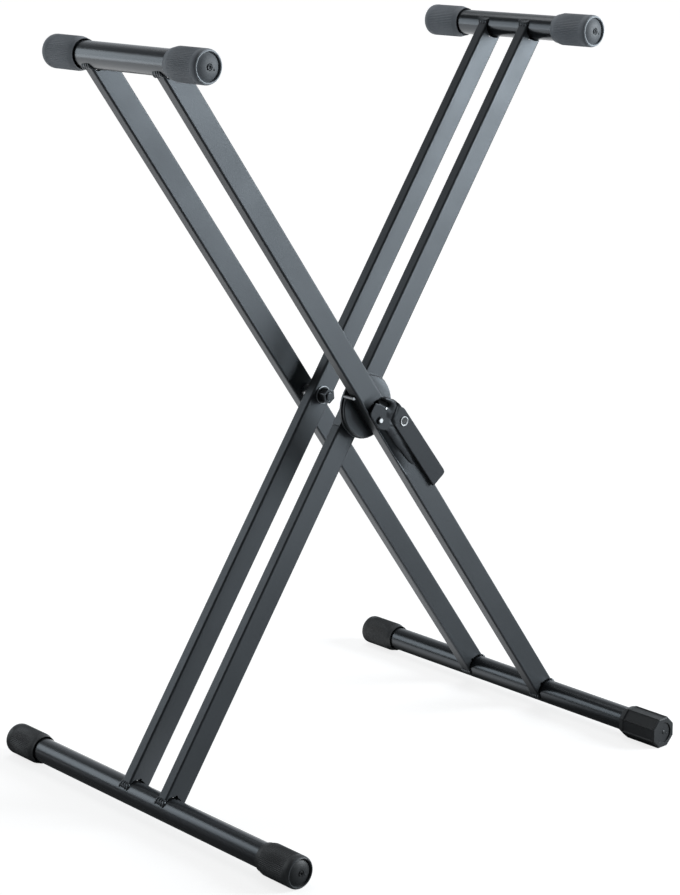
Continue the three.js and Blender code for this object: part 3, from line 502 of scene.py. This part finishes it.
# ---------------------------------------------------------------- levelling cap
# An off-centre octagonal rubber foot on the outer base tube's near end. Turning it by hand brings
# another of its sunk flats to the floor and levels the stand.

LEVELLER_DISH = 0.0016
FLAT_AREA, FLAT_BORDER, FLAT_SINK, FLAT_TILT = 0.0002, 0.0014, 0.0013, 0.05
# Radius, place across and up from the tube's axis, and how far it stands out: the nub and the dot.
NUBS = [(0.0026, 0.0, 0.0, 0.0012), (0.0009, 0.0058, -0.0026, 0.0006)]
LEVELLER_RUBBER = (0.025, 0.027, 0.029)
leveller_finish = rubber("leveller_rubber", LEVELLER_RUBBER, 0.44)

bm = merged_copy("levelling_cap")
flats = [f for f in bm.faces if abs(f.normal.y) < FLAT_TILT and f.calc_area() > FLAT_AREA]
bmesh.ops.inset_individual(bm, faces=flats, thickness=FLAT_BORDER, depth=-FLAT_SINK,
                           use_even_offset=True)
end_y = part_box("levelling_cap")[0].y + LEVELLER_DISH
for radius, across, up, out in NUBS:
    nub = bmesh.ops.create_uvsphere(bm, u_segments=24, v_segments=12, radius=radius)
    bmesh.ops.scale(bm, vec=(1, out / radius, 1), verts=nub["verts"])
    bmesh.ops.translate(bm, vec=tube_axis("outer_base_tube") + Vector((across, end_y, up)),
                        verts=nub["verts"])
leveller = place_piece("levelling_cap_piece", mesh_of("levelling_cap", bm), leveller_finish,
                       "levelling_cap", ["levelling_cap"])
round_edges(leveller, 0.0005, segments=3, angle=22)

# ---------------------------------------------------------------- far pivot bolt
# A black bolt runs through both far legs, with a washer under its head, a bright spacer between the
# legs, and a washer and lock nut inside. A plain bush lines each leg round the bolt and the pin.

BLACK_OXIDE = (0.012, 0.0126, 0.0132)
ZINC_DARK, ZINC_PALE, ZINC_SPECK = (0.52, 0.54, 0.56), (0.70, 0.71, 0.72), (0.30, 0.30, 0.30)
# The nut washer's pale outer ring is a painted highlight on its black face.
WASHER_FACE, HIGHLIGHT_STEEL, HIGHLIGHT_EDGE = (0.022, 0.023, 0.024), (0.34, 0.36, 0.38), 0.0010
RING_BLUR = 0.0002
TURNED_DEPTH = 0.00002
black_steel = powder_coat("black_oxide", BLACK_OXIDE, 0.20, 1500.0, dust=0.3, shine=1.0)


def zinc_coat(name, gain, rough):
    """Zinc plate: cloudy, finely turned and flecked with grey."""
    material, values, place, surface = finish(name, Metallic=1.0)
    turned = values.noise(place, 1600.0, rough=0.6)
    clouds = values.noise(place, 120.0, detail=3.0, rough=0.6)
    body = values.mix(clouds.range(0.3, 0.8), tint(ZINC_DARK, gain), tint(ZINC_PALE, gain))
    body = values.mix(turned.range(0.62, 0.80, 0.0, 0.45), body, ZINC_SPECK)
    gloss = clouds.range(0.3, 0.8, rough, rough + 0.16) + turned * 0.06
    wire(values, surface, body, gloss, turned, TURNED_DEPTH)
    return material


# On the rivet and the nut washer, the middle and the ring are painted highlight and shade. On the
# badge they are its print.
def ringed(name, centre, radius, inner, outer, rough, metallic):
    """A round head whose middle, inside radius, has another colour and gloss than its ring."""
    material, values, place, surface = finish(name, Metallic=metallic)
    fine = values.noise(place, 1500.0, rough=0.6)
    reach = values.vectors("SUBTRACT", place, tuple(centre))
    flat = values.vectors("MULTIPLY", reach, (1.0, 0.0, 1.0))
    from_axis = values.vectors("LENGTH", flat, out="Value")
    ring = from_axis.range(radius - RING_BLUR, radius + RING_BLUR)
    body = values.mix(ring, inner, outer)
    body = values.mix(fine.range(0.5, 0.8, 0.0, 0.35), body, tint(outer, 0.8))
    gloss = ring.range(0.0, 1.0, rough, rough + 0.1) + fine * 0.08
    wire(values, surface, body, gloss, fine, TURNED_DEPTH)
    return material


# The nut washer gets a pale steel ring round its edge: a painted highlight for the bright arcs on
# its rim.
low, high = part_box("far_nut_washer")
washer_painted_highlight = ringed("washer_edge_painted_highlight", (low + high) / 2, (high.x - low.x) / 2 - HIGHLIGHT_EDGE,
                     WASHER_FACE, HIGHLIGHT_STEEL, 0.26, 0.7)
zinc_steel = zinc_coat("bright_zinc", 1.0, 0.24)
for node, material, slot, bevel in (
    ("far_bolt", black_steel, "black_steel", 0.0006),
    ("far_bolt_washer", black_steel, "black_steel", 0.0003),
    ("far_spacer", zinc_steel, "zinc_steel", 0.0003),
    ("far_nut_washer", washer_painted_highlight, "black_steel", 0.0004),
    ("far_nut", black_steel, "black_steel", 0.0005),
    ("outer_leg_bush", zinc_steel, "zinc_steel", 0.0003),
):
    dressed(node, material, "outer_frame", bevel)
for node in ("inner_leg_bush_far", "inner_leg_bush_near"):
    dressed(node, zinc_steel, "inner_frame", bevel=0.0003)

# ---------------------------------------------------------------- toothed pivot clutch
# A round die-cast plate on the near outer leg's back bears on a toothed plate bent round the inner
# leg. The clutch pin holds the two together, with its washer and nut inside the inner leg, and a
# dull plated pin anchors the plate to the outer leg.

CAST_BLACK = (0.018, 0.019, 0.020)
cast_finish = powder_coat("cast_satin_black", CAST_BLACK, 0.36, 900.0, dust=0.25, shine=0.7)
dull_steel = zinc_coat("dull_zinc", 0.42, 0.40)
dressed("outer_clutch_plate", cast_finish, "outer_frame", bevel=0.0007, segments=3)
dressed("toothed_clutch_plate", cast_finish, "inner_frame", bevel=0.0005, segments=3)
for node in ("clutch_pin", "clutch_washer", "clutch_nut"):
    dressed(node, black_steel, "outer_frame", bevel=0.0004)
dressed("anchor_pin", dull_steel, "outer_frame", bevel=0.0004)

# ---------------------------------------------------------------- release lever
# A pressed steel lever turns on a rivet in the outer leg's recess. Its ear lies on the leg, a bent
# knuckle with a slot takes it round the leg's side, and its channel grip is squeezed by hand. The
# solid and the swellings that join ear and grip are remeshed as one skin, which is then shaped.

LEVER_BLACK, SLOT_SHADE_BLACK = (0.020, 0.021, 0.023), (0.002, 0.002, 0.002)
LEVER_VOXEL, LEVER_SMOOTHINGS = 0.0005, 7
EAR_Y, GRIP_Y = -73.1, -75.5
SHAPED_FROM, SHAPED_ABOVE, SHAPED_FACING = -71.2, (-34, 8), (0.2, 0.4)
# Along, across, depth and the three half sizes of the swellings that join the ear to the grip.
SWELLINGS = [
    (-1.5, 12.5, -72.2, 5.0, 3.6, 3.0), (3.5, 16.5, -72.4, 5.6, 4.4, 3.4),
    (7.0, 13.4, -72.0, 6.0, 4.4, 2.6), (10.5, 19.4, -72.6, 6.6, 5.2, 4.0),
    (15.5, 15.0, -72.6, 5.8, 5.6, 4.0), (0.0, 8.0, -71.9, 8.0, 4.4, 2.4),
    (19.0, 22.6, -71.4, 6.4, 4.6, 4.0), (14.5, 9.5, -71.8, 7.4, 6.6, 3.0),
    (20.0, 12.0, -71.8, 7.0, 7.0, 3.2), (16.5, 9.0, -72.4, 6.0, 5.6, 3.4),
    (25.0, 6.0, -72.2, 9.0, 6.0, 3.0), (36.0, 0.5, -71.4, 16.0, 7.0, 2.4),
    (50.0, 1.0, -71.0, 22.0, 6.8, 2.3), (68.0, 3.0, -70.6, 30.0, 5.6, 1.5),
]
# The crest of the knuckle, the crease between it and the grip, and its slot, along and across.
CREST = [(-3.0, 13.4), (3.0, 17.4), (9.0, 20.4), (14.5, 18.6), (17.0, 13.5), (16.5, 9.5)]
CREST_HEIGHT, CREST_FALL, CREST_REACH = 2.7, 1.4, 6.6
CREASE = [(13.0, 26.5), (17.0, 23.0), (21.2, 16.0), (25.0, 6.6), (45.0, 6.0), (75.0, 6.8)]
CREASE_DEPTH, CREASE_REACH = 1.5, 3.6
SLOT = [(6.8, 13.6), (-12.0, 5.0)]
SLOT_HALF, SLOT_EDGE, SLOT_FLOOR = 2.5, 1.0, -71.0
SLOT_SEEN = (-0.0735, -0.0700)
# Where the ear bends up to the grip: its line along the grip, how it swings off above the corner,
# and how wide the bend is.
BEND_START, BEND_LINE, BEND_SLANT = 21.0, 4.7, 0.0294
BEND_CORNER, BEND_SWING, BEND_WIDTH = 25.0, 1.9, 3.4
lever_finish = powder_coat("lever_satin_black", LEVER_BLACK, 0.42, 800.0, shine=0.3)
# The slot's floor is painted near black: painted shade down in the slot.
slot_painted_shade = powder_coat("slot_shadow", SLOT_SHADE_BLACK, 0.8, 800.0, dust=0.0, shine=0.1)


def nearest(path, spot):
    """How far a spot is from a path, and how far along the path it is nearest, from 0 to 1."""
    best = (1e9, 0.0)
    for index, (start, end) in enumerate(zip(path, path[1:])):
        start, run = Vector(start), Vector(end) - Vector(start)
        share = min(max((spot - start).dot(run) / run.length_squared, 0.0), 1.0)
        off = (spot - start - run * share).length
        best = min(best, (off, (index + share) / (len(path) - 1)))
    return best


def lever_face(along, across):
    """The depth of the lever's near face: ear, knuckle, crease and grip in one soft skin."""
    spot = Vector((along, across))
    bend = BEND_LINE + (along - BEND_START) * BEND_SLANT
    bend += max(0.0, BEND_CORNER - along) * BEND_SWING
    depth = EAR_Y + (GRIP_Y - EAR_Y) * slope(across, bend, BEND_WIDTH)
    off_crest, round_bend = nearest(CREST, spot)
    height = CREST_HEIGHT - CREST_FALL * round_bend
    depth -= height * (1 - slope(off_crest, 0, CREST_REACH))
    off_crease, far = nearest(CREASE, spot)
    depth += CREASE_DEPTH * (1 - slope(off_crease, 0, CREASE_REACH)) * (1 - far)
    off_slot, _ = nearest(SLOT, spot)
    return depth + (SLOT_FLOOR - depth) * (1 - slope(off_slot, SLOT_HALF, SLOT_EDGE))


lever_axes = Matrix((ALONG, ACROSS, Vector((0, 1, 0)))).transposed().to_4x4()
bm = merged_copy("release_lever")
for along, across, y, *halves in SWELLINGS:
    made = bmesh.ops.create_icosphere(bm, subdivisions=3, radius=1.0)
    sizes = Matrix.Diagonal((*[half / 1000 for half in halves], 1))
    place = Matrix.Translation(leg_point(along, across, y)) @ lever_axes @ sizes
    bmesh.ops.transform(bm, matrix=place, verts=made["verts"])
rough_lever = bpy.data.objects.new("rough_lever", mesh_of("rough_lever", bm))
bpy.context.scene.collection.objects.link(rough_lever)
skin = rough_lever.modifiers.new("one_skin", "REMESH")
skin.mode, skin.voxel_size = "VOXEL", LEVER_VOXEL
bm = bmesh.new()
bm.from_object(rough_lever, bpy.context.evaluated_depsgraph_get())
bpy.data.objects.remove(rough_lever)
bm.normal_update()
for v in bm.verts:
    along, across = on_leg(v.co)
    shaped = slope(-along, *SHAPED_ABOVE) * slope(-v.normal.y, *SHAPED_FACING)
    if v.co.y < SHAPED_FROM / 1000:
        v.co.y += (lever_face(along, across) / 1000 - v.co.y) * shaped
for _ in range(LEVER_SMOOTHINGS):
    bmesh.ops.smooth_vert(bm, verts=bm.verts, factor=0.5, use_axis_x=True, use_axis_y=True,
                          use_axis_z=True)
lever = place_piece("release_lever_piece", mesh_of("release_lever", bm), lever_finish, "lever",
                    ["release_lever"], 180)
# The faces on the slot's floor take the painted shade.
lever.data.materials.append(slot_painted_shade)
for face in lever.data.polygons:
    off_slot, _ = nearest(SLOT, Vector(on_leg(face.center)))
    if off_slot < SLOT_HALF and SLOT_SEEN[0] < face.center.y < SLOT_SEEN[1]:
        face.material_index = 1

# ---------------------------------------------------------------- lever hardware
# The bright rivet that the lever turns on, the hook pin in its ear, the pawl that drops between the
# clutch's teeth, the torsion spring round the rivet, and a plain round badge on the grip.

RIVET_HIGHLIGHT_RADIUS, BRIGHT_STEEL, DARK_RING = 0.0027, (0.62, 0.63, 0.64), (0.030, 0.032, 0.034)
BADGE_ALONG, BADGE_ACROSS, BADGE_MIDDLE = 38.5, 19.3, 0.0045
BADGE_SATIN = (0.52, 0.53, 0.54)
# The rivet head is bright only in its middle and dark in a ring round it: a painted highlight on
# the dome inside painted shade.
rivet_painted_light = ringed("rivet_head_painted_highlight", leg_point(RIVET_ALONG, RIVET_ACROSS), RIVET_HIGHLIGHT_RADIUS, BRIGHT_STEEL,
                      DARK_RING, 0.28, 0.9)
badge_finish = ringed("badge_satin", leg_point(BADGE_ALONG, BADGE_ACROSS), BADGE_MIDDLE,
                      DARK_RING, BADGE_SATIN, 0.32, 0.4)
dressed("lever_rivet", rivet_painted_light, "outer_frame", bevel=0.0013, segments=4)
dressed("lever_hook_pin", zinc_steel, "lever", bevel=0.0004)
dressed("lock_pawl", black_steel, "lever", bevel=0.0003)
dressed("release_spring", zinc_steel, "outer_frame", smooth=60)
dressed("lever_badge", badge_finish, "lever", bevel=0.0003)

# ---------------------------------------------------------------- floor, light and camera
# A plain pale studio: a wide floor, one large soft light at the right, two weak ones behind and
# above, and a soft world. The camera stands at the photograph's viewing angle.

FLOOR_HALF, FLOOR_GREY = 30.0, (0.34, 0.34, 0.34)
WHITE, COOL_WHITE = (1.0, 1.0, 1.0), (0.90, 0.96, 1.0)
MIRRORED_GAIN = 1.35
FAR_SIDE = (0.62, 0.78, 0.0)
FAR_GLOW, DIM_GLOW, DIM_COLOUR = 0.75, 0.10, (0.90, 0.95, 1.0)


def bare_tree(owner):
    """A material's or a world's node values, with no nodes yet."""
    owner.use_nodes = True
    owner.node_tree.nodes.clear()
    return Value(owner.node_tree)


def show(values, kind, shown):
    """Joins what is shown to the tree's output."""
    out = values.tree.nodes.new(kind)
    values.tree.links.new(shown.socket, out.inputs["Surface"])


def pale_floor():
    """Matt grey under the lamps. It also glows, white to the camera and pale in reflections."""
    material = bpy.data.materials.new("pale_floor")
    values = bare_tree(material)
    camera_ray = values.node("ShaderNodeLightPath", out="Is Camera Ray")
    glossy_ray = values.node("ShaderNodeLightPath", out="Is Glossy Ray")
    place = values.node("ShaderNodeTexCoord", out="Object")
    reach = values.vectors("LENGTH", place, out="Value")
    behind = values.node("ShaderNodeSeparateXYZ", {}, {0: place}, out="Y")
    across = values.node("ShaderNodeSeparateXYZ", {}, {0: place}, out="X")
    sideways = values.maths("ABSOLUTE", across)
    # Reflections show the glow under the stand from its middle back, and far off behind it.
    under = (1 - sideways.range(0.245, 0.285)) * behind.range(-0.14, 0.06)
    outside = reach.range(0.45, 1.0) * behind.range(0.0, 0.6)
    mirrored = glossy_ray * values.maths("MAXIMUM", under, outside) * MIRRORED_GAIN
    glow = camera_ray * reach.range(0.8, 3.5, 0.80, 0.97) + mirrored
    pale = values.node("ShaderNodeBsdfDiffuse", {}, {"Color": FLOOR_GREY})
    lit = values.node("ShaderNodeEmission", {}, {"Color": WHITE, "Strength": glow})
    shown = values.node("ShaderNodeAddShader", {}, {0: pale, 1: lit})
    show(values, "ShaderNodeOutputMaterial", shown)
    return material


bm = bmesh.new()
bmesh.ops.create_grid(bm, x_segments=1, y_segments=1, size=FLOOR_HALF)
floor = bpy.data.objects.new("studio_floor", mesh_of("studio_floor", bm))
floor.data.materials.append(pale_floor())
bpy.context.scene.collection.objects.link(floor)

# The world is white to the camera. It lights the object dimly, and more from the far side.
world = bpy.data.worlds.new("studio")
bpy.context.scene.world = world
around = bare_tree(world)
seen_by_camera = around.node("ShaderNodeLightPath", out="Is Camera Ray")
direction = around.node("ShaderNodeTexCoord", out="Generated")
height = around.node("ShaderNodeSeparateXYZ", {}, {0: direction}, out="Z")
beyond = around.vectors("DOT_PRODUCT", direction, FAR_SIDE, out="Value")
strength = (1 - height.range(0.35, 0.85)) * beyond.range(0.30, 0.85) * FAR_GLOW + DIM_GLOW
dim = around.node("ShaderNodeBackground", {}, {"Color": DIM_COLOUR, "Strength": strength})
white = around.node("ShaderNodeBackground", {}, {"Color": WHITE, "Strength": 1.0})
sky = around.node("ShaderNodeMixShader", {}, {0: seen_by_camera, 1: dim, 2: white})
show(around, "ShaderNodeOutputWorld", sky)


def soft_light(name, place, towards, size, watts, colour):
    lamp = bpy.data.lights.new(name, "AREA")
    lamp.shape, lamp.energy, lamp.color = "RECTANGLE", watts, colour
    lamp.size, lamp.size_y = size
    light = bpy.data.objects.new(name, lamp)
    light.location = place
    look = Vector(towards) - Vector(place)
    light.rotation_euler = look.to_track_quat("-Z", "Y").to_euler()
    bpy.context.scene.collection.objects.link(light)


soft_light("key", (2.05, -2.00, 1.14), (0.0, 0, 0.75), (1.3, 1.7), 122.0, COOL_WHITE)
soft_light("back_left", (-1.25, 1.65, 1.10), (-0.1, 0, 0.60), (1.0, 1.3), 12.0, COOL_WHITE)
soft_light("top_soft", (0.3, 0.6, 2.3), (0, 0, 0.5), (1.2, 1.2), 10.0, WHITE)

CAMERA_PLACE = Vector((-1.8011, -2.0226, 1.1028))
TURN, TILT, ROLL = 0.7285, 0.2584, -0.0095
FOCAL_LENGTH, SENSOR_WIDTH = 94.04, 36.0
ahead = Vector((math.sin(TURN) * math.cos(TILT), math.cos(TURN) * math.cos(TILT),
                -math.sin(TILT)))
level_right = Vector((math.cos(TURN), -math.sin(TURN), 0))
level_up = Vector((math.sin(TURN) * math.sin(TILT), math.cos(TURN) * math.sin(TILT),
                   math.cos(TILT)))
right = math.cos(ROLL) * level_right + math.sin(ROLL) * level_up
up = math.cos(ROLL) * level_up - math.sin(ROLL) * level_right
lens = bpy.data.cameras.new("camera")
lens.lens, lens.sensor_width = FOCAL_LENGTH, SENSOR_WIDTH
camera = bpy.data.objects.new("camera", lens)
camera_turn = Matrix((right, up, -ahead)).transposed().to_4x4()
camera.matrix_world = Matrix.Translation(CAMERA_PLACE) @ camera_turn
bpy.context.scene.collection.objects.link(camera)
bpy.context.scene.camera = camera
bpy.context.scene.view_settings.view_transform = "Standard"
